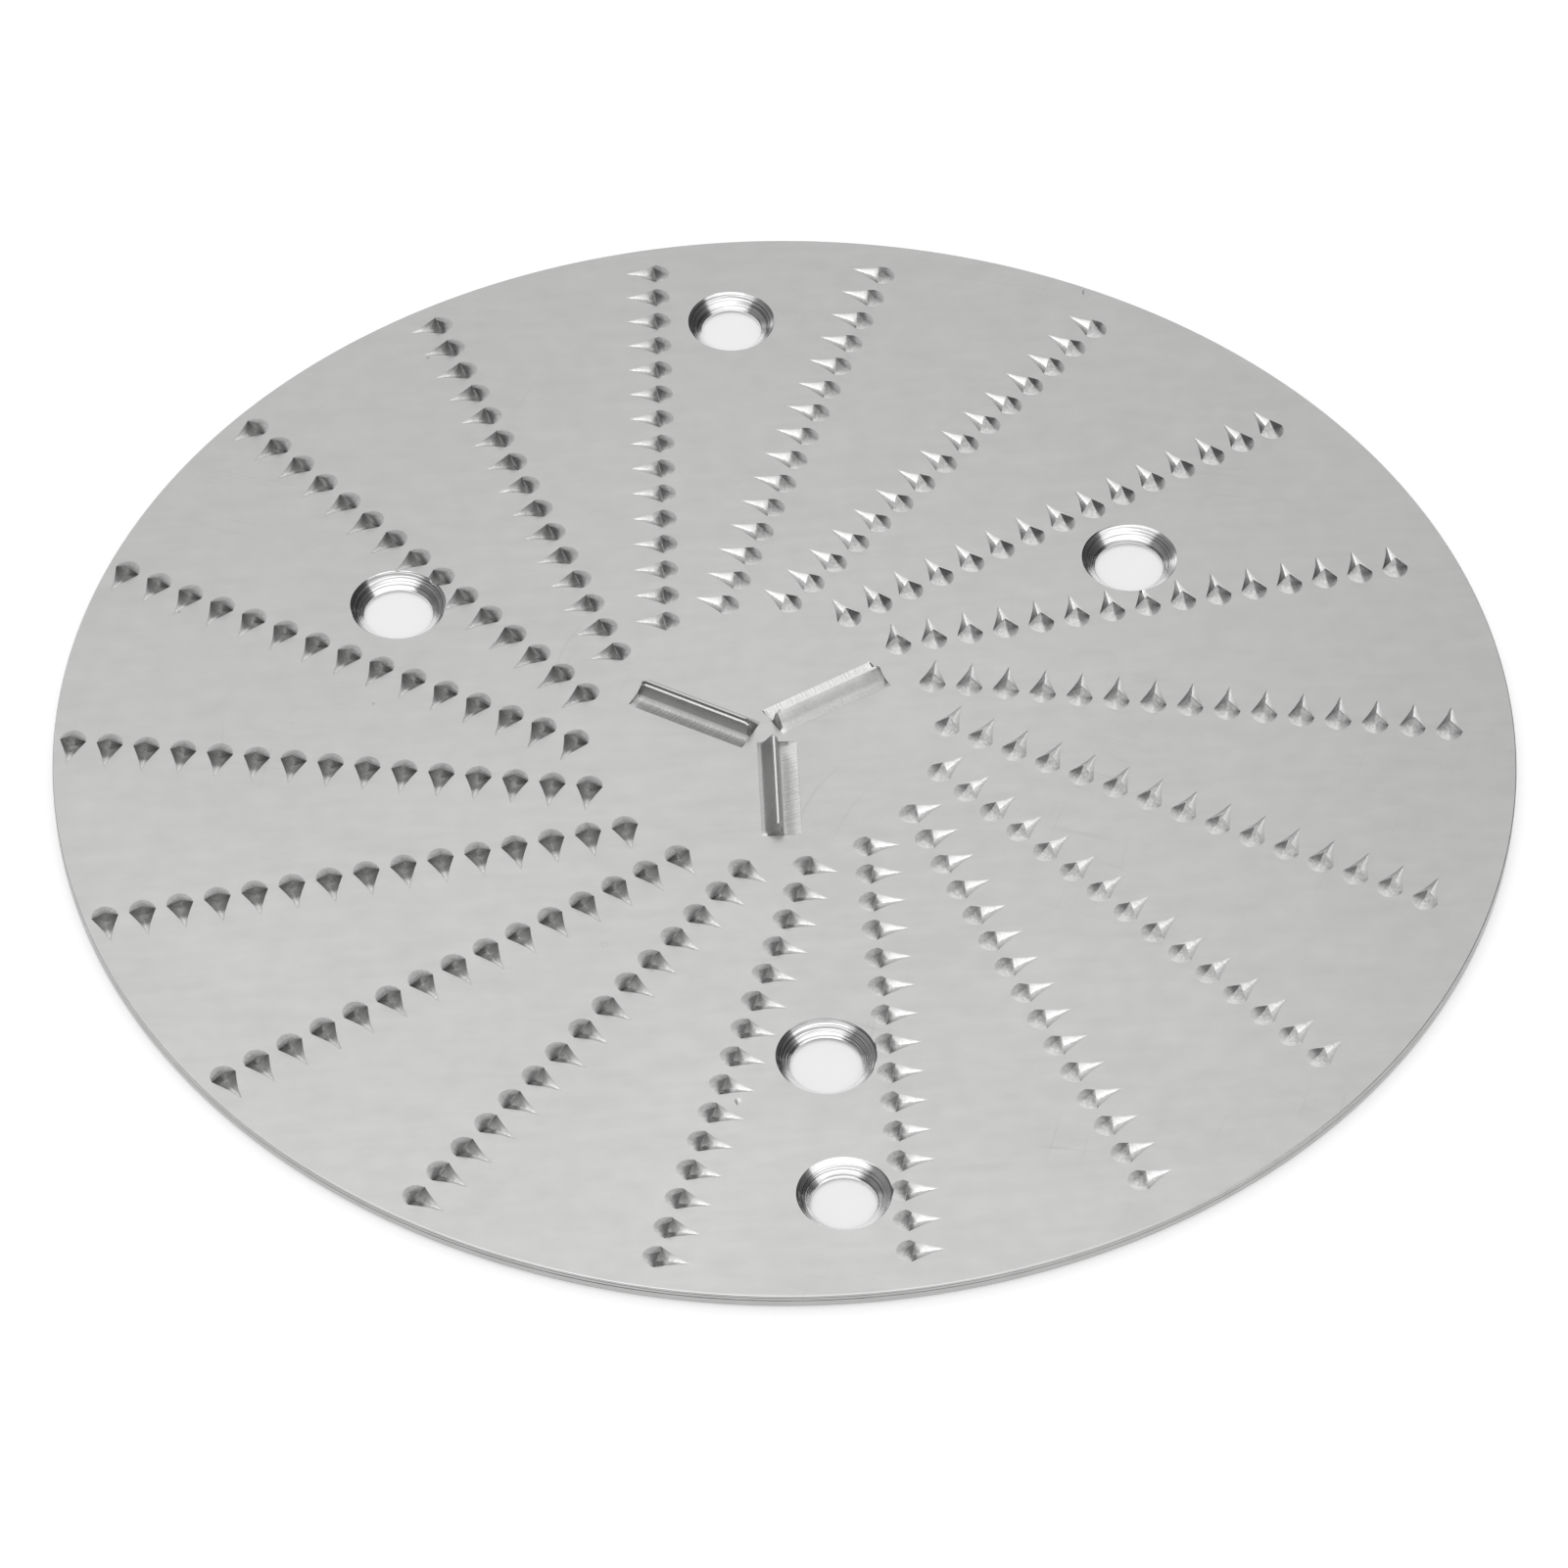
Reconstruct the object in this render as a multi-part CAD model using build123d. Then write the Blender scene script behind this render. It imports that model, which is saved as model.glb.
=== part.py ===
from build123d import *
import math
import os

# Shredder disc of a centrifugal juicer: one flat stainless disc with rows of raised rasp teeth,
# three cutting fins in the middle and five countersunk screw holes.
# The underside lies on z = 0, the disc centre is the origin, the teeth point up.
os.makedirs("parts", exist_ok=True)

# Blank, in millimetres
disc_d = 152.0
thick = 1.6
edge_ease = 0.25         # eased upper edge
edge_break = 0.15        # deburred lower edge

# Countersunk screw holes, on circles about the disc centre
inner_inset = 31.0       # from the rim in to the inner hole centres
inner_count = 3
inner_csk_d = 10.1
outer_inset = 12.9       # from the rim in to the outer hole centres
outer_count = 2
outer_csk_d = 9.4
hole_start = 90.0        # angle of the outer pair; the inner three start 60 degrees before it
csk_angle = 90.0         # included angle of each cone
land = 0.20              # straight wall left under each cone

# Punched pattern: the fins and the rows were each punched a little off the centre of the blank,
# and the steps from row to row run slightly uneven around the disc
fins_x = -1.85
fins_y = 0.16
rows_x = -2.37
rows_y = 0.12
row_count = 18
teeth_per_row = 15
row_turn = 7.65          # direction of the first row
step_swing = 1.23        # a row is turned back or on by up to this angle
step_phase = 22.0        # where around the disc that swing begins
row_offset = 9.60        # each row is a straight line that passes the rows' centre at this distance
row_start = 16.78        # from the foot of that distance to the first tooth
edge_land = 0.68         # bare rim kept outside the outermost tooth
tooth_gap = 1.10         # bare metal between two teeth of a row

# One rasp tooth: a tapered groove that ends at a steep beak
tooth_h = 1.12
tooth_back = 1.45        # run of the back of the beak
tooth_hook = 0.44        # lean of the tip over the groove
groove_l = 3.45
groove_depth = 0.75
funnel_part = 0.63       # part of the groove that is wide, the rest is a thin tail
tail_part = 0.24         # width of the tail where it leaves the funnel, as a part of the tooth width

# One fin: a long lip raised out of a sloped pocket
fin_count = 3
fin_turn = 27.0          # direction of the first fin
fin_in = 1.3             # inner end of the lip, from the fins' centre
fin_out = 14.7
fin_lip_y = 0.70         # the lip stands this far to one side of the fin's radial line
fin_h = 1.75
fin_back = 1.75          # run of the back of the lip
fin_lean = 0.60          # the front of the lip leans back by this much from the pocket up to the crest
fin_pocket_w = 2.40      # from under the crest to the far edge of the pocket
fin_depth = 0.70
fin_draw = 0.35          # how far the lip is drawn in at its ends

disc_r = disc_d / 2
inner_pcd = disc_d - 2 * inner_inset
outer_pcd = disc_d - 2 * outer_inset
cone_run = (thick - land) * math.tan(math.radians(csk_angle / 2))
inner_bore_r = inner_csk_d / 2 - cone_run
outer_bore_r = outer_csk_d / 2 - cone_run

# The rows end where the corner of the last tooth reaches the bare rim
# on the side that the off-centre pattern comes closest to.
rows_shift = math.hypot(rows_x, rows_y)
row_reach = math.sqrt((disc_r - edge_land - rows_shift) ** 2 - row_offset ** 2)
tooth_pitch = (row_reach - row_start + tooth_gap / 2) / (teeth_per_row - 0.5)
tooth_w = tooth_pitch - tooth_gap


def facet(points):
    """A flat face through its corner points."""
    return Face(Wire.make_polygon([Vector(*p) for p in points], close=True))


def rasp_tooth():
    """Outline on the upper face, and the facets above and below it.

    x runs along the row, y toward the tail of the groove, z = 0 is the upper face.
    """
    half = tooth_w / 2
    ring = []
    for step in range(7):
        turn = math.pi * step / 6
        ring.append((-half * math.cos(turn), -tooth_back * math.sin(turn), 0))
    left, right = ring[0], ring[6]
    deep = (0, 0, -groove_depth)
    tip = (0, tooth_hook, tooth_h)

    # The face of the beak is two flats that meet on the line from the groove up to the tip.
    lean = tooth_hook / (tooth_h + groove_depth)
    sweep = lean * groove_depth / half
    side_x = 0.28 * tooth_w
    side_z = 0.72 * tooth_h
    side_y = sweep * (half - side_x) + lean * side_z
    crest_left = (-side_x, side_y, side_z)
    crest_right = (side_x, side_y, side_z)

    # The groove is a wide funnel that runs out into a thin tail.
    neck_y = funnel_part * groove_l
    neck_x = tail_part * half
    line_end = neck_y * half / (half - neck_x)
    neck_left = (-neck_x, neck_y, 0)
    neck_right = (neck_x, neck_y, 0)
    neck_low = (0, neck_y, -groove_depth * (1 - neck_y / line_end))
    tail = (0, groove_l, 0)

    facets = [
        facet([left, deep, tip, crest_left]),
        facet([deep, right, crest_right, tip]),
        facet([left, neck_left, neck_low, deep]),
        facet([deep, neck_low, neck_right, right]),
        facet([neck_left, tail, neck_low]),
        facet([neck_low, tail, neck_right]),
        facet([ring[0], ring[1], crest_left]),
        facet([ring[1], ring[2], crest_left]),
        facet([ring[2], tip, crest_left]),
        facet([ring[2], ring[3], tip]),
        facet([ring[3], ring[4], tip]),
        facet([ring[4], crest_right, tip]),
        facet([ring[4], ring[5], crest_right]),
        facet([ring[5], ring[6], crest_right]),
    ]
    outline = ring + [neck_right, tail, neck_left]
    return Wire.make_polygon([Vector(*p) for p in outline], close=True), facets


def cutting_fin():
    """Outline and facets of one fin: x runs outward, y toward the pocket."""
    crest_y = fin_lip_y
    far_y = crest_y + fin_pocket_w
    low_y = crest_y + fin_lean
    foot_y = crest_y + fin_lean * fin_h / (fin_h + fin_depth)
    back_y = crest_y - fin_back
    swell_y = crest_y - 0.45 * fin_back
    swell_z = 0.66 * fin_h
    ends = []
    for x, inward in ((fin_in, fin_draw), (fin_out, -fin_draw)):
        ends.append({
            "edge": (x, far_y, 0),
            "foot": (x, foot_y, 0),
            "low": (x + 0.5 * inward, low_y, -fin_depth),
            "crest": (x + inward, crest_y, fin_h),
            "swell": (x + 0.5 * inward, swell_y, swell_z),
            "back": (x, back_y, 0),
        })
    a, b = ends
    facets = [
        facet([a["edge"], b["edge"], b["low"], a["low"]]),
        facet([a["low"], b["low"], b["foot"], b["crest"], a["crest"], a["foot"]]),
        facet([a["crest"], b["crest"], b["swell"], a["swell"]]),
        facet([a["swell"], b["swell"], b["back"], a["back"]]),
    ]
    for end in ends:
        facets.append(facet([end["edge"], end["low"], end["foot"]]))
        facets.append(facet([end["foot"], end["crest"], end["swell"]]))
        facets.append(facet([end["foot"], end["swell"], end["back"]]))
    outline = [a["edge"], b["edge"], b["foot"], b["back"], a["back"], a["foot"]]
    return Wire.make_polygon([Vector(*p) for p in outline], close=True), facets


def countersunk_hole(csk_d, bore_r):
    """Cutter for one hole: the cone runs on above the upper face to clear any tooth."""
    over = tooth_h + fin_h
    grow = over * math.tan(math.radians(csk_angle / 2))
    profile = Polyline(
        (0, -1),
        (bore_r, -1),
        (bore_r, land),
        (csk_d / 2, thick),
        (csk_d / 2 + grow, thick + over),
        (0, thick + over),
        close=True,
    )
    return revolve(Plane.XZ * make_face(profile), Axis.Z)


# Blank with an eased upper edge and a deburred lower edge
blank = Cylinder(disc_r, thick, align=(Align.CENTER, Align.CENTER, Align.MIN))
blank = chamfer(blank.edges().group_by(Axis.Z)[-1], edge_ease)
blank = chamfer(blank.edges().group_by(Axis.Z)[0], edge_break)
*skin, upper = blank.faces().sort_by(Axis.Z)

# Every tooth and fin replaces its outline in the upper face by its own facets.
outlines = []
facets = []
tooth_outline, tooth_facets = rasp_tooth()
for row in range(row_count):
    even = row_turn + row * 360 / row_count
    turn = even - step_swing * math.sin(math.radians(even + step_phase))
    line = Pos(rows_x, rows_y, thick) * Rot(0, 0, turn)
    for tooth in range(teeth_per_row):
        spot = line * Pos(row_start + tooth * tooth_pitch, row_offset, 0)
        outlines.append(tooth_outline.moved(spot))
        facets += [face.moved(spot) for face in tooth_facets]
fin_outline, fin_facets = cutting_fin()
for fin in range(fin_count):
    spot = Pos(fins_x, fins_y, thick) * Rot(0, 0, fin_turn + fin * 360 / fin_count)
    outlines.append(fin_outline.moved(spot))
    facets += [face.moved(spot) for face in fin_facets]
pierced = Face(upper.outer_wire(), outlines)
disc = Solid(Shell([*skin, pierced, *facets]))

# Countersunk holes, cut last so that a tooth beside a hole loses what the cone takes
holes = []
inner_hole = countersunk_hole(inner_csk_d, inner_bore_r)
for hole in range(inner_count):
    holes.append(Rot(0, 0, hole_start - 60 + hole * 360 / inner_count) * Pos(inner_pcd / 2, 0, 0) * inner_hole)
outer_hole = countersunk_hole(outer_csk_d, outer_bore_r)
for hole in range(outer_count):
    holes.append(Rot(0, 0, hole_start + hole * 360 / outer_count) * Pos(outer_pcd / 2, 0, 0) * outer_hole)
shredder_disc = disc.cut(*holes).solid()

export_step(shredder_disc, "parts/shredder_disc.step")
print("valid", shredder_disc.is_valid, "volume", round(shredder_disc.volume, 1))
print("tooth pitch", round(tooth_pitch, 3), "width", round(tooth_w, 3))
print("bores", round(2 * inner_bore_r, 2), round(2 * outer_bore_r, 2), "outer pcd", outer_pcd)
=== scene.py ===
# %% [markdown]
# # The shredder disc of a juicer
# The real part is one round sheet of stainless steel. A punch press has raised rows of rasp teeth and
# three fins out of it, and a drill has cut five countersunk holes for its screws.
# This lesson rebuilds its looks on top of a solid that already has the right size and place.
# Lengths are written in millimetres, as on a drawing, and turned into metres where they are used.

# %% Load the frame
import math

import bpy
from mathutils import Matrix, Vector


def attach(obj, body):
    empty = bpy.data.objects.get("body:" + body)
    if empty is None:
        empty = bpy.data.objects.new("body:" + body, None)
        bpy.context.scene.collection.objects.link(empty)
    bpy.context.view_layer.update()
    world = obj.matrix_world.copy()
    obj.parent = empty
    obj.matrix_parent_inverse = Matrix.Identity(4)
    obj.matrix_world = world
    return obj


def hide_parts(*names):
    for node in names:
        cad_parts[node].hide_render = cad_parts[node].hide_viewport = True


MM = 0.001
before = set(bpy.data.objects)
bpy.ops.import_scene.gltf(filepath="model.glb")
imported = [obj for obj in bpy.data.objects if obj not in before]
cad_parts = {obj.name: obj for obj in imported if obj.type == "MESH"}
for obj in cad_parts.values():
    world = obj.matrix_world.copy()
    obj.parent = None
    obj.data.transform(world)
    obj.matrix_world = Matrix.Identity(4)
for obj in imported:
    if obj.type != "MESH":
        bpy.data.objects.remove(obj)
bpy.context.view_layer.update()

# %% [markdown]
# ## The sizes
# These are the same driving sizes as in the solid, so every tooth and hole lies where the solid has it.
# The rows are straight lines that pass the middle at a distance, which is why they seem to spiral.

# %% Driving sizes in millimetres
DISC_R = 76.0
THICK = 1.6
CSK_ANGLE = 90.0
LAND = 0.20
INNER_HOLES = {"circle_r": 45.0, "count": 3, "first": 30.0, "csk_r": 5.05}
OUTER_HOLES = {"circle_r": 63.1, "count": 2, "first": 90.0, "csk_r": 4.70}

FINS_MIDDLE = (-1.85, 0.16)
ROWS_MIDDLE = (-2.37, 0.12)
ROWS = 18
TEETH = 15
ROW_TURN = 7.65
STEP_SWING = 1.23
STEP_PHASE = 22.0
ROW_OFFSET = 9.60
ROW_START = 16.78
TOOTH_PITCH = 3.868
TOOTH_HALF = 1.384
TOOTH_H = 1.12
TOOTH_BACK = 1.45
TOOTH_HOOK = 0.44
GROOVE_L = 3.45
GROOVE_DEPTH = 0.75

FINS = 3
FIN_TURN = 27.0
FIN_IN = 1.3
FIN_OUT = 14.7
FIN_LIP_Y = 0.70
FIN_H = 1.75
FIN_POCKET = 2.40
FIN_DEPTH = 0.70
print("teeth", ROWS * TEETH, "fins", FINS)

# %% [markdown]
# ## A small mesh maker
# Each punched shape is written as a list of faces, and each face as a list of corner points.
# Points that are the same become one vertex, so a face that closes to a triangle at the end of a strip
# needs no special case. Numbers stored on the points and faces tell the nodes and the materials later
# which metal may move, where the punch cut and where it tore.


# %% Mesh maker
FLAT_LIMIT = 0.02  # a point further than this from the upper face is off the flat border
FRONT_LIMIT = 0.85  # a face whose normal leans this far along +y is a sheared front


def write_values(mesh, name, domain, values):
    """Store one number for each point or face of a mesh."""
    attribute = mesh.attributes.new(name, "FLOAT", domain)
    attribute.data.foreach_set("value", [float(value) for value in values])


def mesh_from_faces(name, faces, stroke=None, tear=0.0, scour_and_sheen=0.0):
    """A mesh object from faces given by their corner points in millimetres.

    A punched shape names the axis on which its tool marks follow one another, and gets five attributes.
    free is 1 off the flat border, cut is 1 below the upper face, and scour_and_sheen is how hard the tool
    rubbed it; on a fin's raised lip the same number also lays on a painted sheen.
    stroke is the place along the tool marks, and torn is how rough a sheared front is.
    """
    spots = {}
    verts = []
    polys = []
    for face in faces:
        poly = []
        for point in face:
            key = tuple(round(value, 5) for value in point)
            if key not in spots:
                spots[key] = len(verts)
                verts.append(key)
            if spots[key] not in poly:
                poly.append(spots[key])
        if len(poly) > 2:
            polys.append(poly)
    mesh = bpy.data.meshes.new(name)
    mesh.from_pydata([Vector(v) * MM for v in verts], [], polys)
    punched = 0.0 if stroke is None else 1.0
    low = [punched * (vert[2] < -FLAT_LIMIT) for vert in verts]
    fronts = [poly.normal.y > FRONT_LIMIT and poly.center.z > 0 for poly in mesh.polygons]
    free = [punched * (abs(vert[2]) > FLAT_LIMIT) for vert in verts]
    write_values(mesh, "free", "POINT", free)
    write_values(mesh, "cut", "POINT", low)
    write_values(mesh, "scour_and_sheen", "POINT", [value * scour_and_sheen for value in free])
    write_values(mesh, "stroke", "POINT", [punched * vert[stroke or 0] for vert in verts])
    write_values(mesh, "torn", "FACE", [tear * front for front in fronts])
    obj = bpy.data.objects.new(name, mesh)
    bpy.context.scene.collection.objects.link(obj)
    print(name, "faces", len(polys), "vertices", len(verts))
    return obj


def between(a, b, t):
    """The value a part t of the way from a to b."""
    return a + (b - a) * t


# %% [markdown]
# ## One rasp tooth
# The punch cuts a tapered groove and pushes the metal in front of it up into a beak that leans a little
# over the groove. The back of the beak flares out softly into the sheet; the front is two freshly torn flats.
# The patch has a flat border all round, so it can be set into a hole of the same outline in the sheet.
# The shape repeats 270 times, so it has only a few dozen faces.

# %% Tooth patch
APRON = 0.22  # width of the flat border
# part of the run down the back, then the part of the height left there on the ridge and on the flanks
BACK_STEPS = (
    (0.0, 1.0, 1.0),
    (0.04, 0.97, 0.96),
    (0.17, 0.77, 0.66),
    (0.38, 0.48, 0.36),
    (0.66, 0.20, 0.13),
    (1.0, 0.0, 0.0),
)
# part of the groove's length, then its width and depth there as parts of the full ones
GROOVE_STEPS = (
    (0.0, 1.0, 1.0),
    (0.32, 0.61, 0.40),
    (0.63, 0.28, 0.20),
    (0.80, 0.17, 0.11),
    (1.0, 0.0, 0.0),
)
CREST_POWER = 1.06  # 1 would be a crest of two straight lines
# place across the crest, then the direction in degrees in which the back runs out there
CREST = (
    (-1.0, 0),
    (-0.76, 28),
    (-0.45, 56),
    (-0.13, 80),
    (0.0, 90),
    (0.13, 100),
    (0.45, 124),
    (0.76, 152),
    (1.0, 180),
)


def tooth_faces():
    """Back, front and groove of one tooth: x runs along the row, y toward the tail of the groove."""
    last = len(CREST) - 1
    lean = TOOTH_HOOK / (TOOTH_H + GROOVE_DEPTH)
    sweep = lean * GROOVE_DEPTH / TOOTH_HALF
    rings = [[] for _ in range(len(BACK_STEPS) + 1)]
    for across, degrees in CREST:
        turn = math.radians(degrees)
        top = TOOTH_H * (1 - abs(across) ** CREST_POWER)
        x0 = TOOTH_HALF * across
        y0 = sweep * (TOOTH_HALF - abs(x0)) + lean * top
        x1 = -TOOTH_HALF * math.cos(turn)
        y1 = -TOOTH_BACK * math.sin(turn)
        flank = min(1.0, 2.0 * abs(across))
        for step, (run, ridge, side) in enumerate(BACK_STEPS):
            height = top * between(ridge, side, flank)
            rings[step].append((between(x0, x1, run), between(y0, y1, run), height))
        rings[-1].append((x1 - APRON * math.cos(turn), y1 - APRON * math.sin(turn), 0.0))
    faces = []
    for inner, outer in zip(rings, rings[1:]):
        for column in range(last):
            faces.append([inner[column], outer[column], outer[column + 1], inner[column + 1]])

    middle = last // 2
    deep = (0.0, 0.0, -GROOVE_DEPTH)
    crest = rings[0]
    faces.append([*crest[: middle + 1], deep])
    faces.append([deep, *crest[middle:]])

    for side in (-1, 1):
        edge = [(side * TOOTH_HALF * wide, GROOVE_L * run, 0.0) for run, wide, low in GROOVE_STEPS]
        bed = [(0.0, GROOVE_L * run, -GROOVE_DEPTH * low) for run, wide, low in GROOVE_STEPS]
        rim = [(side * (TOOTH_HALF * wide + APRON), GROOVE_L * run, 0.0) for run, wide, low in GROOVE_STEPS]
        rim[-1] = (0.0, GROOVE_L + APRON, 0.0)
        for outer, inner in ((edge, bed), (rim, edge)):
            for step in range(len(GROOVE_STEPS) - 1):
                face = [outer[step], inner[step], inner[step + 1], outer[step + 1]]
                faces.append(face if side < 0 else face[::-1])
    return faces


tooth_patch = mesh_from_faces("tooth_patch", tooth_faces(), stroke=1, tear=0.3)

# %% [markdown]
# ## One fin
# A fin is a long lip that was sheared along one side and bent up, with a sloped pocket where it came from.
# The patch is a grid: one section through the lip and the pocket, repeated along the fin, and pressed flat
# at both ends. Its border is flat again, so it fits into the sheet in the same way as a tooth.

# %% Fin patch
# y from the crest, z, then the y it has where the fin is pressed flat
FIN_SECTION = (
    (-2.08, 0.0, -2.08),
    (-1.80, 0.0, -1.80),
    (-1.50, 0.05 * FIN_H, -1.50),
    (-1.20, 0.18 * FIN_H, -1.20),
    (-0.86, 0.46 * FIN_H, -0.86),
    (-0.52, 0.76 * FIN_H, -0.54),
    (-0.28, 0.93 * FIN_H, -0.34),
    (-0.17, 0.985 * FIN_H, -0.22),
    (0.04, 1.0 * FIN_H, -0.06),
    (0.10, 0.82 * FIN_H, 0.04),
    (0.30, 0.76 * FIN_H, 0.20),
    (0.52, 0.0, 0.40),
    (0.70, -1.0 * FIN_DEPTH, 0.62),
    (1.50, -0.52 * FIN_DEPTH, 1.50),
    (FIN_POCKET - 0.14, -0.07 * FIN_DEPTH, FIN_POCKET - 0.14),
    (FIN_POCKET, 0.0, FIN_POCKET),
    (FIN_POCKET + 0.35, 0.0, FIN_POCKET + 0.35),
)
# distance from an end of the fin, then the part of the lip's height and of the pocket's depth there
FIN_ENDS = (
    (-0.40, 0.0, 0.0),
    (0.0, 0.0, 0.0),
    (0.16, 0.42, 0.92),
    (0.38, 0.86, 1.0),
    (0.80, 1.0, 1.0),
)
FIN_MIDDLES = (0.2, 0.4, 0.6, 0.8)  # further sections, as parts of the straight length


def fin_faces():
    """One fin: x runs outward along the lip, y toward the pocket."""
    stations = [(FIN_IN + away, lip, low) for away, lip, low in FIN_ENDS]
    straight = FIN_OUT - FIN_IN - 2 * FIN_ENDS[-1][0]
    stations += [(FIN_IN + FIN_ENDS[-1][0] + straight * part, 1.0, 1.0) for part in FIN_MIDDLES]
    stations += [(FIN_OUT - away, lip, low) for away, lip, low in reversed(FIN_ENDS)]
    lines = []
    for x, lip, low in stations:
        line = []
        for y, z, flat_y in FIN_SECTION:
            part = lip if z > 0 else low
            line.append((x, FIN_LIP_Y + between(flat_y, y, part), z * part))
        lines.append(line)
    faces = []
    for near, far in zip(lines, lines[1:]):
        for step in range(len(FIN_SECTION) - 1):
            faces.append([near[step], far[step], far[step + 1], near[step + 1]])
    return faces


fin_patch = mesh_from_faces("fin_patch", fin_faces(), stroke=0, tear=1.0, scour_and_sheen=1.0)

# %% [markdown]
# ## The rim and the underside
# A blanked sheet has a rim with a story: the upper edge is drawn in a little, below it runs a burnished band
# where the tool slid past, then a rougher band where the metal broke, and the lower edge is deburred.
# The ring is open at the top. The sheet between rim, teeth and fins is filled in later.

# %% Rim
RIM_STEPS = 288
# distance in from the full radius, then the height below the upper face
RIM_SECTION = (
    (0.14, 0.0),
    (0.08, -0.012),
    (0.035, -0.040),
    (0.008, -0.085),
    (0.0, -0.13),
    (0.0, -0.19),
    (0.035, -0.21),
    (0.0, -0.28),
    (0.0, -0.57),
    (0.045, -0.59),
    (0.0, -0.67),
    (0.01, -1.38),
    (0.16, -1.60),
)


def rim_faces():
    """The section turned around the disc, and the flat underside."""
    faces = []
    lines = []
    for step in range(RIM_STEPS):
        turn = 2 * math.pi * step / RIM_STEPS
        lines.append([
            ((DISC_R - inset) * math.cos(turn), (DISC_R - inset) * math.sin(turn), z)
            for inset, z in RIM_SECTION
        ])
    for step in range(RIM_STEPS):
        near, far = lines[step], lines[(step + 1) % RIM_STEPS]
        for row in range(len(RIM_SECTION) - 1):
            faces.append([near[row], near[row + 1], far[row + 1], far[row]])
    faces.append([line[-1] for line in reversed(lines)])
    return faces


rim_ring = mesh_from_faces("rim_ring", rim_faces())

# %% [markdown]
# ## The hole cutters
# Each screw hole is a straight bore with a cone above it for a flat screw head.
# One closed cutter holds all five, and the tree below takes it away from the sheet,
# so a tooth that stands too close to a hole loses its side, as it did on the real disc.

# %% Hole cutters
HOLE_STEPS = 96
EDGE_BREAK = 0.07  # broken edge at the mouth of each cone


def hole_spots(holes):
    """The middle of each hole of one set."""
    for index in range(holes["count"]):
        turn = math.radians(holes["first"] + index * 360 / holes["count"])
        yield holes["circle_r"] * math.cos(turn), holes["circle_r"] * math.sin(turn)


def hole_faces(x, y, csk_r):
    """A closed cutter for one hole, which runs on above the highest fin."""
    bore_r = csk_r - (THICK - LAND) * math.tan(math.radians(CSK_ANGLE / 2))
    above = TOOTH_H + FIN_H
    section = (
        (bore_r, -THICK - 1.0),
        (bore_r, LAND - THICK),
        (csk_r - EDGE_BREAK, -EDGE_BREAK),
        (csk_r + EDGE_BREAK, 0.02),
        (csk_r + EDGE_BREAK + above, above),
    )
    faces = []
    lines = []
    for step in range(HOLE_STEPS):
        turn = 2 * math.pi * step / HOLE_STEPS
        lines.append([(x + r * math.cos(turn), y + r * math.sin(turn), z) for r, z in section])
    for step in range(HOLE_STEPS):
        near, far = lines[step], lines[(step + 1) % HOLE_STEPS]
        for row in range(len(section) - 1):
            faces.append([near[row], far[row], far[row + 1], near[row + 1]])
    faces.append([line[0] for line in reversed(lines)])
    faces.append([line[-1] for line in lines])
    return faces


cutter_faces = []
for holes in (INNER_HOLES, OUTER_HOLES):
    for spot_x, spot_y in hole_spots(holes):
        cutter_faces += hole_faces(spot_x, spot_y, holes["csk_r"])
hole_cutter = mesh_from_faces("hole_cutter", cutter_faces)


# %% [markdown]
# ## Node maths that reads like maths
# A small class wraps a node socket and overloads the operators, so a field or a shader can be written
# as a formula. Its `node` method makes any other node. The same class serves the geometry tree and
# the materials.


# %% Socket wrapper
class Sock:
    """One output socket, with operators that add Math nodes to its tree."""

    def __init__(self, tree, socket):
        self.tree = tree
        self.socket = socket

    def node(self, kind, settings=None, values=None, out=0):
        """A new node: settings first, then socket values or links, then one of its outputs."""
        node = self.tree.nodes.new(kind)
        for key, value in (settings or {}).items():
            setattr(node, key, value)
        for key, value in (values or {}).items():
            self.feed(node.inputs[key], value)
        return Sock(self.tree, node.outputs[out])

    def feed(self, socket, value):
        """Links or sets one input socket."""
        if isinstance(value, Sock):
            self.tree.links.new(value.socket, socket)
        else:
            socket.default_value = value

    def math(self, operation, *values):
        return self.node("ShaderNodeMath", {"operation": operation}, dict(enumerate(values)))

    def __add__(self, other):
        return self.math("ADD", self, other)

    def __radd__(self, other):
        return self.math("ADD", other, self)

    def __sub__(self, other):
        return self.math("SUBTRACT", self, other)

    def __rsub__(self, other):
        return self.math("SUBTRACT", other, self)

    def __mul__(self, other):
        return self.math("MULTIPLY", self, other)

    def __rmul__(self, other):
        return self.math("MULTIPLY", other, self)

    def __truediv__(self, other):
        return self.math("DIVIDE", self, other)

    def vector(self, operation, *values, out=0):
        return self.node("ShaderNodeVectorMath", {"operation": operation}, dict(enumerate(values)), out)

    def smooth(self, low, high):
        """0 below low, 1 above high, and a soft step between them."""
        values = {"Value": self, "From Min": low, "From Max": high}
        return self.node("ShaderNodeMapRange", {"interpolation_type": "SMOOTHSTEP"}, values)

    def level(self, low, high):
        """Brings a value from 0 to 1 to the range from low to high."""
        return self.node("ShaderNodeMapRange", {}, {"Value": self, "To Min": low, "To Max": high})


def mix_colour(factor, a, b):
    """Mixes two colours: the colour sockets of a Mix node are 6 and 7, its colour result is output 2."""
    return factor.node("ShaderNodeMix", {"data_type": "RGBA"}, {0: factor, 6: a, 7: b}, 2)


# %% [markdown]
# ## Setting the pattern with Geometry Nodes
# The tree makes one point per tooth, and works out row and place in the row from the point's index.
# Each tooth is a little different, as no two strokes of a worn punch are the same: a seeded random value
# lifts it or presses it down and pushes its tip sideways. Only points off the border move, so the flat
# border stays put. Then the sheet between the open border loops of teeth, fins and rim is filled in,
# which closes it, and the hole cutter is taken away.


# %% Geometry tree
SIDE_PUSH = 1.6  # a tip leans sideways by this much more than it is lifted
WELD = 0.002  # points closer than this become one


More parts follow.
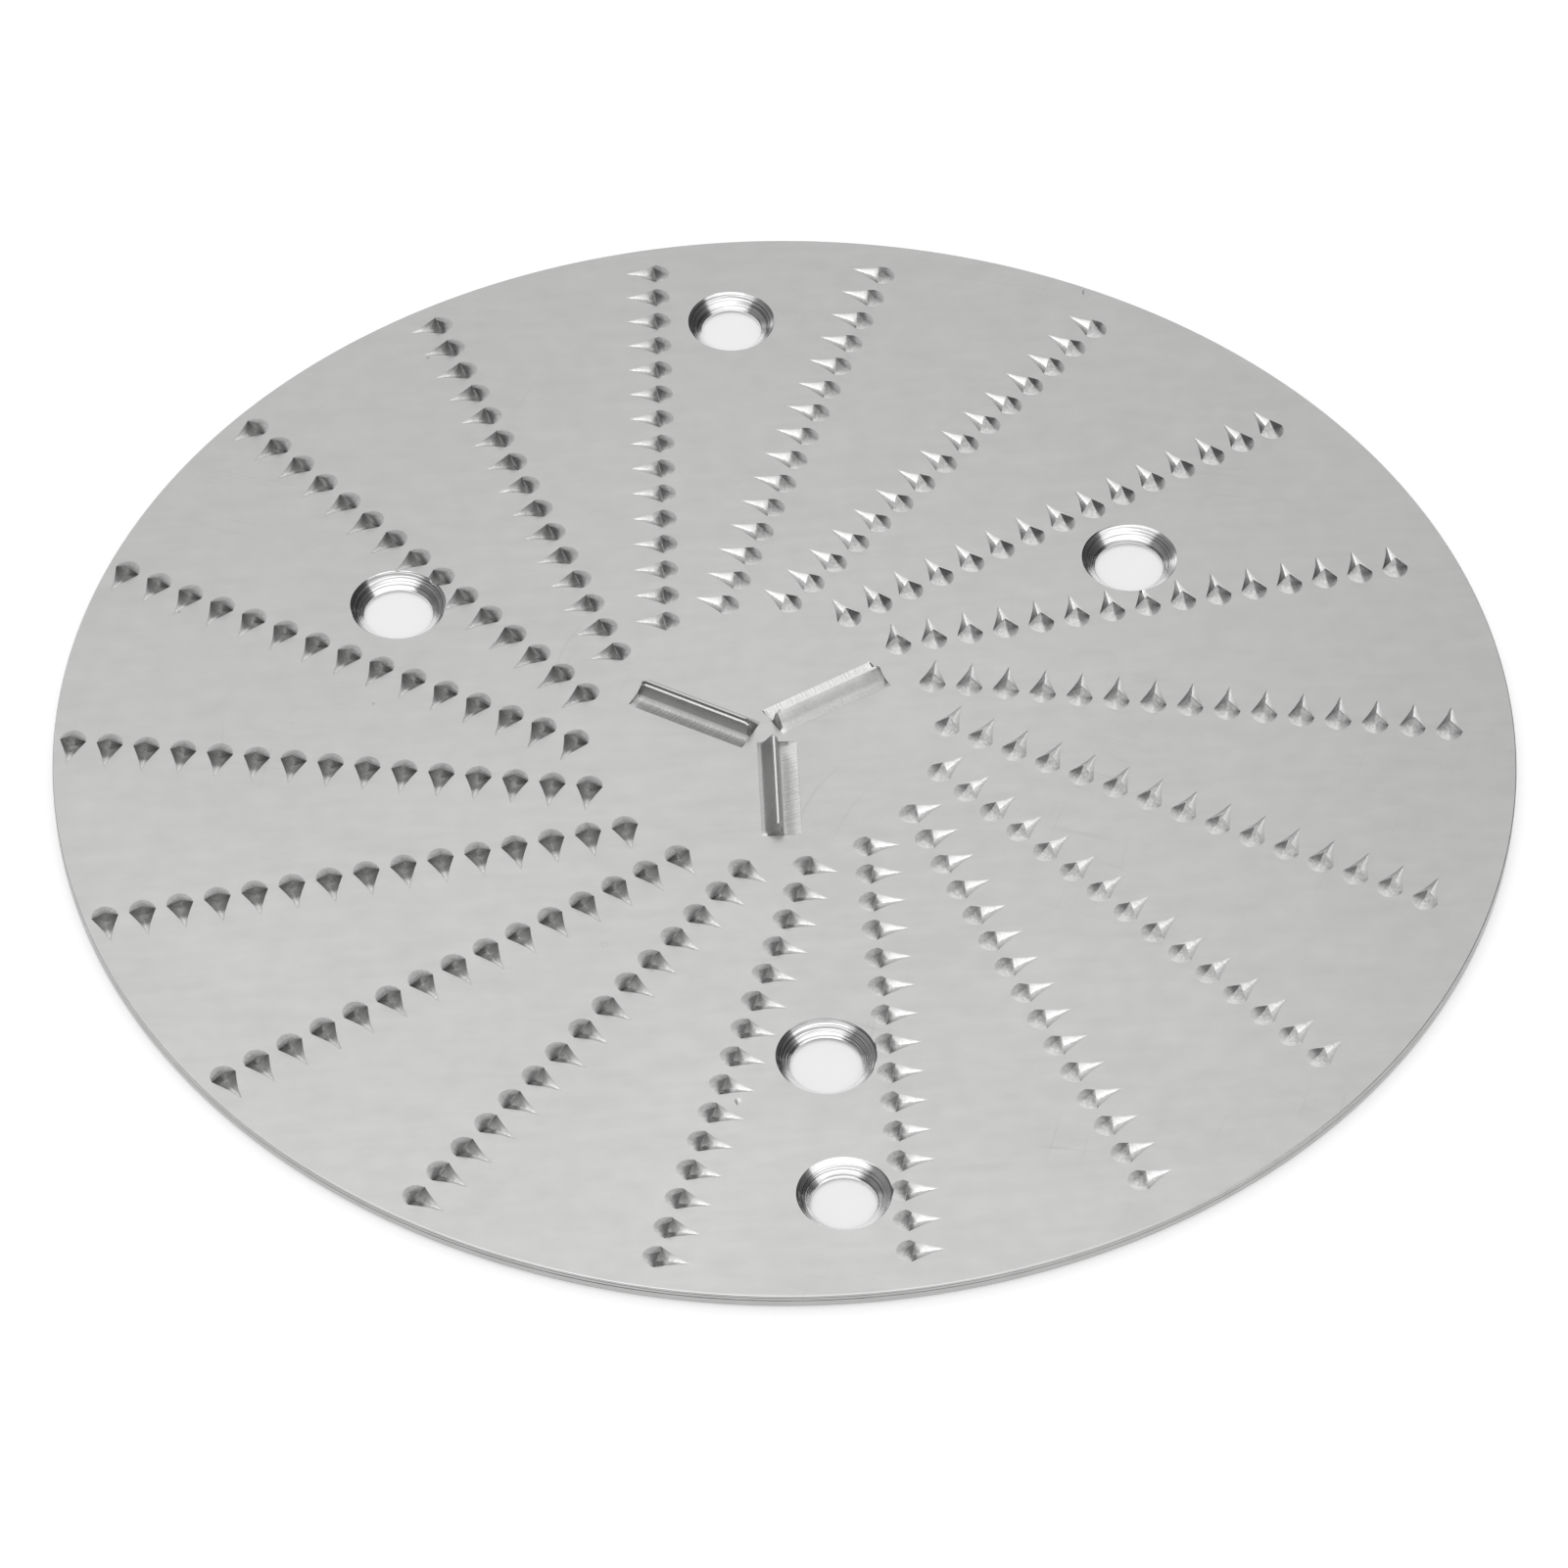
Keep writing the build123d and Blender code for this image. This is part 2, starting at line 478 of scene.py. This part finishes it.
def punched_tree():
    """The node tree that turns the rim into the whole sheet."""
    tree = bpy.data.node_groups.new("punched_sheet", "GeometryNodeTree")
    made = tree.interface.new_socket
    made("Geometry", in_out="OUTPUT", socket_type="NodeSocketGeometry")
    made("Rim", in_out="INPUT", socket_type="NodeSocketGeometry")
    for name, kind in (
        ("Tooth", "NodeSocketObject"),
        ("Fin", "NodeSocketObject"),
        ("Cutter", "NodeSocketObject"),
        ("Rows", "NodeSocketInt"),
        ("Teeth per row", "NodeSocketInt"),
        ("Fins", "NodeSocketInt"),
        ("Unevenness", "NodeSocketFloat"),
        ("Seed", "NodeSocketInt"),
        ("Steel", "NodeSocketMaterial"),
    ):
        made(name, in_out="INPUT", socket_type=kind)
    entry = tree.nodes.new("NodeGroupInput")
    leave = tree.nodes.new("NodeGroupOutput")
    given = {socket.name: Sock(tree, socket) for socket in entry.outputs if socket.name}
    n = given["Rim"].node

    index = n("GeometryNodeInputIndex")
    row = index.math("FLOOR", index / given["Teeth per row"] + 0.001)
    place = index - row * given["Teeth per row"]
    even = row * (2 * math.pi) / given["Rows"] + math.radians(ROW_TURN)
    swing = even.math("SINE", even + math.radians(STEP_PHASE))
    turn = even - swing * math.radians(STEP_SWING)
    along = (place * TOOTH_PITCH + ROW_START) * MM
    beside = ROW_OFFSET * MM
    cos_turn = turn.math("COSINE", turn)
    sin_turn = turn.math("SINE", turn)
    x = along * cos_turn - sin_turn * beside + ROWS_MIDDLE[0] * MM
    y = along * sin_turn + cos_turn * beside + ROWS_MIDDLE[1] * MM
    spot = n("ShaderNodeCombineXYZ", None, {"X": x, "Y": y, "Z": THICK * MM})
    facing = n("ShaderNodeCombineXYZ", None, {"Z": turn})
    count = given["Rows"] * given["Teeth per row"]
    points = n("GeometryNodePoints", None, {"Count": count, "Position": spot})
    sideways = n("ShaderNodeCombineXYZ", None, {"X": cos_turn, "Y": sin_turn})
    for name, kind, value in (("tooth", "INT", index), ("sideways", "FLOAT_VECTOR", sideways)):
        points = n(
            "GeometryNodeStoreNamedAttribute",
            {"data_type": kind, "domain": "POINT"},
            {"Geometry": points, "Name": name, "Value": value},
        )
    tooth = n("GeometryNodeObjectInfo", None, {"Object": given["Tooth"]}, "Geometry")
    rotation = n("FunctionNodeEulerToRotation", None, {0: facing})
    values = {"Points": points, "Instance": tooth, "Rotation": rotation}
    teeth = n("GeometryNodeInstanceOnPoints", None, values)
    teeth = n("GeometryNodeRealizeInstances", None, {"Geometry": teeth})

    def stored(name, kind):
        return n("GeometryNodeInputNamedAttribute", {"data_type": kind}, {"Name": name}, "Attribute")

    free = stored("free", "FLOAT")
    number = stored("tooth", "INT")
    side = stored("sideways", "FLOAT_VECTOR")
    height = n("ShaderNodeSeparateXYZ", None, {0: n("GeometryNodeInputPosition")}, "Z") - THICK * MM

    def chance(offset):
        values = {"Min": -1.0, "Max": 1.0, "ID": number, "Seed": given["Seed"] + offset}
        return n("FunctionNodeRandomValue", {"data_type": "FLOAT"}, values, 1)

    lift = height * free * chance(0) * given["Unevenness"]
    push = height * free * chance(1) * given["Unevenness"] * SIDE_PUSH
    up = n("ShaderNodeCombineXYZ", None, {"Z": lift})
    aside = n("ShaderNodeVectorMath", {"operation": "SCALE"}, {0: side, "Scale": push})
    moved = up.vector("ADD", up, aside)
    teeth = n("GeometryNodeSetPosition", None, {"Geometry": teeth, "Offset": moved})

    fin_turn = index * (2 * math.pi) / given["Fins"] + math.radians(FIN_TURN)
    middle = (FINS_MIDDLE[0] * MM, FINS_MIDDLE[1] * MM, THICK * MM)
    fin_points = n("GeometryNodePoints", None, {"Count": given["Fins"], "Position": middle})
    fin_facing = n("ShaderNodeCombineXYZ", None, {"Z": fin_turn})
    fin_rotation = n("FunctionNodeEulerToRotation", None, {0: fin_facing})
    fin = n("GeometryNodeObjectInfo", None, {"Object": given["Fin"]}, "Geometry")
    values = {"Points": fin_points, "Instance": fin, "Rotation": fin_rotation}
    fins = n("GeometryNodeInstanceOnPoints", None, values)
    fins = n("GeometryNodeRealizeInstances", None, {"Geometry": fins})

    def lifted(geometry):
        """Moves a shape from z = 0 up to the upper face of the sheet."""
        return n("GeometryNodeTransform", None, {"Geometry": geometry, "Translation": (0, 0, THICK * MM)})

    def joined(*parts):
        node = tree.nodes.new("GeometryNodeJoinGeometry")
        for part in parts:
            tree.links.new(part.socket, node.inputs[0])
        return Sock(tree, node.outputs[0])

    open_sheet = joined(lifted(given["Rim"]), teeth, fins)
    faces_at_edge = n("GeometryNodeInputMeshEdgeNeighbors")
    settings = {"data_type": "INT", "operation": "EQUAL"}
    border = n("FunctionNodeCompare", settings, {2: faces_at_edge, 3: 1})
    loops = n("GeometryNodeMeshToCurve", None, {"Mesh": open_sheet, "Selection": border})
    cover = n("GeometryNodeFillCurve", {"mode": "TRIANGLES"}, {"Curve": loops})
    sheet = joined(open_sheet, lifted(cover))
    sheet = n("GeometryNodeMergeByDistance", None, {"Geometry": sheet, "Distance": WELD * MM})
    cutter = n("GeometryNodeObjectInfo", None, {"Object": given["Cutter"]}, "Geometry")
    boolean = tree.nodes.new("GeometryNodeMeshBoolean")
    boolean.operation = "DIFFERENCE"
    boolean.solver = "EXACT"
    tree.links.new(sheet.socket, boolean.inputs["Mesh 1"])
    tree.links.new(lifted(cutter).socket, boolean.inputs["Mesh 2"])
    result = n("GeometryNodeRealizeInstances", None, {"Geometry": Sock(tree, boolean.outputs[0])})
    result = n("GeometryNodeSetMaterial", None, {"Geometry": result, "Material": given["Steel"]})
    tree.links.new(result.socket, leave.inputs[0])
    return tree


sheet_tree = punched_tree()
print("tree nodes", len(sheet_tree.nodes))


# %% [markdown]
# ## Patterns for the steel
# Every finish below is built from a few patterns that follow the piece itself, because they read
# its Object coordinates: noise, thin scratches in one direction, and small single marks.
# A picture wrapped around the disc could do the same, but it would blur when seen from close by.


# %% Pattern helpers
def new_material(name):
    """A material, its shader, and the place on the piece."""
    material = bpy.data.materials.new(name)
    material.use_nodes = True
    tree = material.node_tree
    shader = tree.nodes["Principled BSDF"]
    place = Sock(tree, tree.nodes.new("ShaderNodeTexCoord").outputs["Object"])
    return material, shader, place


def noise(place, scale, stretch=(1, 1, 1), detail=2.0, out="Fac"):
    stretched = place.vector("MULTIPLY", place, stretch)
    values = {"Vector": stretched, "Scale": scale, "Detail": detail}
    return place.node("ShaderNodeTexNoise", None, values, out)


def turned(place, degrees):
    values = {"Vector": place, "Angle": math.radians(degrees)}
    return place.node("ShaderNodeVectorRotate", {"rotation_type": "Z_AXIS"}, values)


def scratches(place, degrees, low, high):
    """Thin long lines in one direction, broken up by a broad mask."""
    sway = noise(place, 18.0, out="Color")
    bent = place.vector("ADD", place, place.vector("MULTIPLY", sway, (0.02, 0.02, 0)))
    lines = noise(turned(bent, degrees), 60.0, (1, 40, 1), 1.0).smooth(low, high)
    return lines * noise(place, 45.0).smooth(0.55, 0.68)


def mark(place, x, y, half_length, half_width, degrees):
    """1 inside a small oval mark on the sheet, and 0 around it."""
    spot = turned(place.vector("SUBTRACT", place, (x * MM, y * MM, 0)), -degrees)
    spot = place.vector("MULTIPLY", spot, (1 / (half_length * MM), 1 / (half_width * MM), 0))
    return 1.0 - place.vector("LENGTH", spot, out="Value").smooth(0.55, 1.1)


def attribute(place, name):
    """A number that the mesh maker stored on the piece."""
    return place.node("ShaderNodeAttribute", {"attribute_name": name}, None, "Fac")


steel, steel_shader, place = new_material("sheet_steel")
print("material", steel.name)

# %% [markdown]
# ## Where the punch has worked
# Inside the grooves and pockets the tool has slid along the metal, leaving fine lines across the stroke.
# Their colour is much lighter: partly the cleaner cut metal, partly a painted highlight for the light
# these hollows mirror. The sheared fronts are torn, so they are darker and rougher, and the bent metal has
# a coarse skin and is a little lighter. The raised lip of each fin, but not its torn front, is painted much
# lighter again, a painted sheen. The stored numbers say which is which.

# %% Punched metal
cut = attribute(place, "cut")
raised = attribute(place, "free") - cut
torn = attribute(place, "torn")
scour_and_sheen = attribute(place, "scour_and_sheen")
stroke = attribute(place, "stroke")
values = {"W": stroke, "Scale": 4.5, "Detail": 2.0}
chatter = place.node("ShaderNodeTexNoise", {"noise_dimensions": "1D"}, values)
chatter = chatter.smooth(0.42, 0.62) * cut * (scour_and_sheen * 0.07 + 0.08)
tear = noise(place, 3400.0, (1, 1, 1), 3.0).smooth(0.32, 0.66) * (raised + cut - scour_and_sheen * 0.6)
punched_dark = chatter + torn * 0.24 + tear * 0.22
# groove and pocket colour much lighter, partly cut metal and partly a painted highlight; the raised lip of a
# fin, all but its torn front, gets a painted sheen
punched_tone_and_painted_light = cut * (0.50 - scour_and_sheen * 0.03) + raised * (scour_and_sheen * (1.0 - torn) * 0.16 + 0.05)
punched_rough = raised * 0.06 + torn * 0.10 + cut * (scour_and_sheen * 0.10 + 0.02)
print("nodes so far", len(steel.node_tree.nodes))

# %% [markdown]
# ## The mill finish
# The sheet is stainless steel with a satin finish: fine grain along the rolling direction, soft smudges,
# two sets of faint scratches and rare dark nicks. A few single marks are worth placing one by one:
# a tick at the far rim, a small dent painted as a dark oval of shade with a painted highlight on its wall,
# and a faint ring.

# %% Mill finish
# x, y, half length, half width, direction in degrees, and how dark the mark is
MARKS = (
    (39.05, 64.20, 0.50, 0.12, 81, 0.40),
    # the dent: a dark oval of painted shade, and on the next line a lighter oval, a painted highlight on its
    # wall
    (-9.50, -50.30, 0.50, 0.14, 100, 0.50),
    (-9.17, -50.05, 0.36, 0.22, 100, -0.30),
    (-20.90, -27.95, 0.42, 0.42, 0, 0.10),
    (-20.90, -27.98, 0.26, 0.26, 0, -0.12),
)
grain = noise(place, 900.0, (0.2, 1, 1), 3.0)
smudge = noise(place, 22.0, (1, 1, 1), 3.0)
lines = scratches(place, 20, 0.66, 0.70) + scratches(place, 112, 0.67, 0.71)
values = {"Vector": place, "Scale": 90.0, "Randomness": 1.0}
nicks = 1.0 - place.node("ShaderNodeTexVoronoi", None, values, "Distance").smooth(0.012, 0.03)
mottle = noise(place, 420.0, (1, 1, 1), 2.0)
mill_dark_and_painted_dent = grain.level(0.0, 0.08) + smudge.level(0.0, 0.06) + mottle.level(-0.02, 0.08)
mill_dark_and_painted_dent = mill_dark_and_painted_dent + lines * 0.03 + nicks * 0.35
for mark_x, mark_y, half_length, half_width, degrees, strength in MARKS:
    mill_dark_and_painted_dent = mill_dark_and_painted_dent + mark(place, mark_x, mark_y, half_length, half_width, degrees) * strength
print("marks", len(MARKS), "nodes so far", len(steel.node_tree.nodes))

# %% [markdown]
# ## The steel of the rim
# The rim carries dark lines of painted shade in the two small notches of its section and on its deburred
# lower edge. They are not quite straight, so the height that draws them wavers a little. The whole rim is
# painted a little lighter too, and its upper edge lighter still, a painted sheen and highlight.
# Then all the parts come together in one shader.

# %% Rim lines and the finished steel
SHEET_TONE = 0.47
# height below the upper face, half the width of the line, and how dark it is
# painted shade: dark lines in the two notches of the rim's section and on its lower chamfer
RIM_SHADE_LINES = ((0.24, 0.06, 0.42), (0.64, 0.07, 0.42), (1.47, 0.10, 0.55))
from_axis = place.vector("LENGTH", place.vector("MULTIPLY", place, (1, 1, 0)), out="Value")
on_rim = from_axis.smooth((DISC_R - 0.20) * MM, (DISC_R - 0.06) * MM)
height = place.node("ShaderNodeSeparateXYZ", None, {0: place}, "Z") + (mottle - 0.5) * (0.10 * MM)
top_edge = height.smooth((THICK - 0.30) * MM, (THICK - 0.14) * MM)
# painted sheen and highlight: the whole rim a little lighter, its upper edge lighter still
rim_painted_sheen = on_rim * (top_edge * 0.10 + 0.08)
dark = mill_dark_and_painted_dent + punched_dark
for below, half_width, strength in RIM_SHADE_LINES:
    offset = height - (THICK - below) * MM
    away = offset.math("ABSOLUTE", offset)
    line = 1.0 - away.smooth(0.3 * half_width * MM, half_width * MM)
    dark = dark + line * on_rim * strength
shade = (1.0 - dark) * (punched_tone_and_painted_light + rim_painted_sheen + SHEET_TONE)
tone = place.node("ShaderNodeCombineColor", None, {0: shade, 1: shade, 2: shade * 0.992})
rough = smudge.level(0.30, 0.38) + grain.level(-0.03, 0.03) + lines * 0.05 + punched_rough
skin = grain + lines * 0.5 + tear * 1.5
bump = place.node("ShaderNodeBump", None, {"Strength": 0.12, "Distance": 0.02 * MM, "Height": skin})
place.feed(steel_shader.inputs["Base Color"], tone)
place.feed(steel_shader.inputs["Roughness"], rough)
place.feed(steel_shader.inputs["Normal"], bump)
steel_shader.inputs["Metallic"].default_value = 1.0
print("material", steel.name, "nodes", len(steel.node_tree.nodes))

# %% [markdown]
# ## The steel of the cones
# The countersinks were cut by a tool that chattered, so their bright walls carry turned rings.
# Noise that is stretched far along the height makes rings of uneven width and darkness.

# %% Cone steel
cone_steel, cone_shader, place = new_material("cone_steel")
rings = noise(place, 1.0, (90, 90, 9000), 2.0)
patches = noise(place, 500.0, (1, 1, 2), 2.0)
shade = 1.0 - rings.smooth(0.47, 0.62) * 0.55 - patches.level(0.0, 0.16)
tone = place.node("ShaderNodeCombineColor", None, {0: shade, 1: shade, 2: shade})
bump = place.node("ShaderNodeBump", None, {"Strength": 0.35, "Distance": 0.06 * MM, "Height": rings})
place.feed(cone_shader.inputs["Base Color"], tone)
place.feed(cone_shader.inputs["Roughness"], patches.level(0.06, 0.20))
place.feed(cone_shader.inputs["Normal"], bump)
cone_shader.inputs["Metallic"].default_value = 1.0
print("material", cone_steel.name, "nodes", len(cone_steel.node_tree.nodes))

# %% [markdown]
# ## Making the sheet
# The tree runs as a modifier on the rim. Its named inputs are set first, by their identifiers,
# and the evaluated result then becomes a plain mesh, so nothing live is left in the finished piece.

# %% Punched sheet
modifier = rim_ring.modifiers.new("punched_sheet", "NODES")
modifier.node_group = sheet_tree
inputs = {
    "Tooth": tooth_patch,
    "Fin": fin_patch,
    "Cutter": hole_cutter,
    "Rows": ROWS,
    "Teeth per row": TEETH,
    "Fins": FINS,
    "Unevenness": 0.06,
    "Seed": 7,
    "Steel": steel,
}
for item in sheet_tree.interface.items_tree:
    if item.in_out == "INPUT" and item.name in inputs:
        modifier[item.identifier] = inputs[item.name]
bpy.context.view_layer.update()
evaluated = rim_ring.evaluated_get(bpy.context.evaluated_depsgraph_get())
sheet_mesh = bpy.data.meshes.new_from_object(evaluated)
sheet_mesh.name = "punched_disc"
disc = bpy.data.objects.new("punched_disc", sheet_mesh)
bpy.context.scene.collection.objects.link(disc)
for helper in (rim_ring, tooth_patch, fin_patch, hole_cutter):
    bpy.data.objects.remove(helper)
print("sheet", len(sheet_mesh.vertices), "vertices", len(sheet_mesh.polygons), "faces")

# %% [markdown]
# ## Shading and the steel of the holes
# The sheet itself must be shaded flat, or the long thin triangles between the teeth would show.
# Everything that is bent is shaded smooth, and edges that turn more than an angle stay sharp.

# %% Shading
SHARP_ANGLE = math.radians(22)
sheet_mesh.materials.clear()
sheet_mesh.materials.append(steel)
sheet_mesh.materials.append(cone_steel)
hole_list = []
for holes in (INNER_HOLES, OUTER_HOLES):
    for spot_x, spot_y in hole_spots(holes):
        hole_list.append((spot_x * MM, spot_y * MM, (holes["csk_r"] + EDGE_BREAK + 0.01) * MM))
sheet_mesh.set_sharp_from_angle(angle=SHARP_ANGLE)
cone_count = 0
for poly in sheet_mesh.polygons:
    level = abs(poly.normal.z) > 0.9999
    poly.use_smooth = not level
    poly.material_index = 0
    for hole_x, hole_y, hole_r in hole_list:
        if not level and math.hypot(poly.center.x - hole_x, poly.center.y - hole_y) < hole_r:
            poly.material_index = 1
            cone_count += 1
edge_use = {}
for poly in sheet_mesh.polygons:
    for key in poly.edge_keys:
        edge_use[key] = edge_use.get(key, 0) + 1
print("cone faces", cone_count, "open edges", sum(1 for count in edge_use.values() if count != 2))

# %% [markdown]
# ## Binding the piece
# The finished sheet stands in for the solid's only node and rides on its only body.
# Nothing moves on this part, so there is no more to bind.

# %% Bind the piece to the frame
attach(disc, "root")
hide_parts("shredder_disc")
print("bound", disc.name)

# %% [markdown]
# ## The stage
# The disc lies on a white table. The table glows white for the camera and for what mirrors it, and is a plain
# pale surface for all other light, so it keeps the soft shadow under the disc. Under the disc its glow is
# lower as well, a painted shadow that the holes show.


# %% Floor
def seen_or_mirrored(tree):
    """1 for a ray from the camera or one that a mirror or glass passes on, and 0 for all other light."""
    node = tree.nodes.new("ShaderNodeLightPath")
    names = ("Is Camera Ray", "Is Glossy Ray", "Is Transmission Ray")
    seen, mirrored, through = [Sock(tree, node.outputs[name]) for name in names]
    return seen.math("MINIMUM", seen + mirrored + through, 1.0)


FLOOR_HALF = 4.0  # in metres
FLOOR_DROP = 0.2  # a small gap under the disc, in millimetres
# painted shadow: under the disc the table glows less, so the holes show a darker floor
TABLE_PAINTED_SHADOW = (0.28, 0.28, 0.28, 1)
TABLE_OPEN = (0.50, 0.50, 0.50, 1)
floor_mesh = bpy.data.meshes.new("floor")
floor_corners = [(FLOOR_HALF * x, FLOOR_HALF * y, 0) for x, y in ((-1, -1), (1, -1), (1, 1), (-1, 1))]
floor_mesh.from_pydata(floor_corners, [], [(0, 1, 2, 3)])
floor = bpy.data.objects.new("floor", floor_mesh)
floor.location.z = -FLOOR_DROP * MM
bpy.context.scene.collection.objects.link(floor)
floor_material = bpy.data.materials.new("white_table")
floor_material.use_nodes = True
floor_tree = floor_material.node_tree
floor_shader = floor_tree.nodes["Principled BSDF"]
floor_shader.inputs["Base Color"].default_value = (0.70, 0.70, 0.70, 1)
floor_shader.inputs["Roughness"].default_value = 0.9
floor_shader.inputs["Emission Strength"].default_value = 1.0
path = seen_or_mirrored(floor_tree)
floor_place = Sock(floor_tree, floor_tree.nodes.new("ShaderNodeTexCoord").outputs["Object"])
from_middle = floor_place.vector("LENGTH", floor_place, out="Value")
open_table = from_middle.smooth((DISC_R - 4.0) * MM, (DISC_R - 1.0) * MM)
lit = mix_colour(open_table, TABLE_PAINTED_SHADOW, TABLE_OPEN)
glow = mix_colour(path, (0.0, 0.0, 0.0, 1), lit)
path.feed(floor_shader.inputs["Emission Color"], glow)
floor_mesh.materials.append(floor_material)
print("floor", 2 * FLOOR_HALF, "m wide")

# %% [markdown]
# ## Light
# A big soft box hangs above the camera, one more overhead and a small one behind the disc, in a white room.
# All of them are weak, because the white room already gives most of the light.


# %% World and lamps
def aim(obj, location):
    """Puts a lamp in its place and points it at the middle of the disc."""
    obj.location = location
    obj.rotation_mode = "QUATERNION"
    obj.rotation_quaternion = Vector(location).to_track_quat("Z", "Y")


world = bpy.data.worlds.new("studio")
bpy.context.scene.world = world
world.use_nodes = True
world_tree = world.node_tree
background = world_tree.nodes["Background"]
seen = seen_or_mirrored(world_tree)
room = mix_colour(seen, (0.55, 0.55, 0.55, 1), (1.0, 1.0, 1.0, 1))
seen.feed(background.inputs["Color"], room)
background.inputs["Strength"].default_value = 1.0

for name, location, size, watts in (
    ("soft_box_front", (0.0, -0.68, 0.72), (2.2, 0.40), 1.0),
    ("soft_box_top", (0.0, -0.12, 1.10), (0.9, 0.5), 1.2),
    ("soft_box_back", (-0.10, 0.20, 0.52), (0.60, 0.42), 0.52),
):
    lamp_data = bpy.data.lights.new(name, "AREA")
    lamp_data.shape = "RECTANGLE"
    lamp_data.size, lamp_data.size_y = size
    lamp_data.energy = watts
    lamp = bpy.data.objects.new(name, lamp_data)
    bpy.context.scene.collection.objects.link(lamp)
    aim(lamp, location)

# %% [markdown]
# ## Flags
# Steel shows what it mirrors, and in a room that is white all over it would look flat. A photographer
# stands dark boards, called flags, around it. Here they form one ring of changing height and darkness:
# high on the left and on the right, low behind the disc and in front of it. They give the teeth
# and the cones their dark sides. Only mirrors see them: they are hidden from the camera and cast no shadow.

# %% Ring of flags
FLAG_R = 0.85
FLAG_STEPS = 72
# how high the flags reach, in degrees, and how light they are,
# for every 30 degrees counted from the right, turning to the back
FLAG_TOPS = (62.0, 60.0, 8.0, 1.0, 2.0, 60.0, 50.0, 38.0, 27.0, 24.0, 8.0, 14.0)
FLAG_TONES = (0.08, 0.05, 0.03, 0.05, 0.25, 0.18, 0.24, 0.18, 0.06, 0.08, 0.60, 0.48)


def around(values, turn):
    """The listed value in one direction, with a soft step between neighbours."""
    spot = turn * len(values) / 360.0
    low = int(spot) % len(values)
    part = spot - int(spot)
    part = part * part * (3 - 2 * part)
    return between(values[low], values[(low + 1) % len(values)], part)


flag_verts = []
flag_levels = []
flag_faces = []
for step in range(FLAG_STEPS):
    turn = 360.0 * step / FLAG_STEPS
    flag_x = FLAG_R * math.cos(math.radians(turn))
    flag_y = FLAG_R * math.sin(math.radians(turn))
    flag_top = FLAG_R * math.tan(math.radians(around(FLAG_TOPS, turn)))
    flag_verts += [(flag_x, flag_y, 0.0), (flag_x, flag_y, flag_top)]
    flag_levels += [around(FLAG_TONES, turn)] * 2
    after = (step + 1) % FLAG_STEPS
    flag_faces.append((2 * step, 2 * step + 1, 2 * after + 1, 2 * after))
flag_material = bpy.data.materials.new("flag_black")
flag_material.use_nodes = True
flag_shader = flag_material.node_tree.nodes["Principled BSDF"]
flag_shader.inputs["Base Color"].default_value = (0.0, 0.0, 0.0, 1)
flag_shader.inputs["Roughness"].default_value = 1.0
flag_shader.inputs["Emission Strength"].default_value = 1.0
flag_tree = flag_material.node_tree
tone_node = flag_tree.nodes.new("ShaderNodeAttribute")
tone_node.attribute_name = "tone"
tone = Sock(flag_tree, tone_node.outputs["Color"])
tone.feed(flag_shader.inputs["Emission Color"], tone)
flag_mesh = bpy.data.meshes.new("flags")
flag_mesh.from_pydata(flag_verts, [], flag_faces)
flag_tone = flag_mesh.attributes.new("tone", "FLOAT_COLOR", "POINT")
for index, level in enumerate(flag_levels):
    flag_tone.data[index].color = (level, level, level, 1)
flag_mesh.materials.append(flag_material)
flags = bpy.data.objects.new("flags", flag_mesh)
bpy.context.scene.collection.objects.link(flags)
flags.visible_camera = False
flags.visible_diffuse = False
flags.visible_shadow = False
print("flags", len(flag_faces), "faces")

# %% [markdown]
# ## Camera
# A long lens looks down at the disc from a little more than forty-five degrees, so the far rim is hardly
# smaller than the near one. The camera stands slightly to one side and has a very small roll.

# %% Camera
AZIMUTH = math.radians(-5.41)
ELEVATION = math.radians(46.4263)
ROLL = math.radians(0.1274)
DISTANCE = 770.5 * MM
TARGET = Vector((-0.745, -7.304, 1.6)) * MM
LENS = 171.16

back = Vector((
    math.sin(AZIMUTH) * math.cos(ELEVATION),
    -math.cos(AZIMUTH) * math.cos(ELEVATION),
    math.sin(ELEVATION),
))
right = Vector((math.cos(AZIMUTH), math.sin(AZIMUTH), 0))
upward = back.cross(right)
rolled_right = right * math.cos(ROLL) + upward * math.sin(ROLL)
rolled_up = upward * math.cos(ROLL) - right * math.sin(ROLL)
camera_data = bpy.data.cameras.new("camera")
camera_data.lens = LENS
camera_data.sensor_width = 36.0
camera_data.clip_start = 0.05
camera_data.clip_end = 50.0
camera = bpy.data.objects.new("camera", camera_data)
bpy.context.scene.collection.objects.link(camera)
turn_matrix = Matrix((rolled_right, rolled_up, back)).transposed()
camera.matrix_world = Matrix.Translation(TARGET + back * DISTANCE) @ turn_matrix.to_4x4()
bpy.context.scene.camera = camera
bpy.context.scene.view_settings.view_transform = "Standard"
print("camera at", [round(value, 3) for value in camera.location])
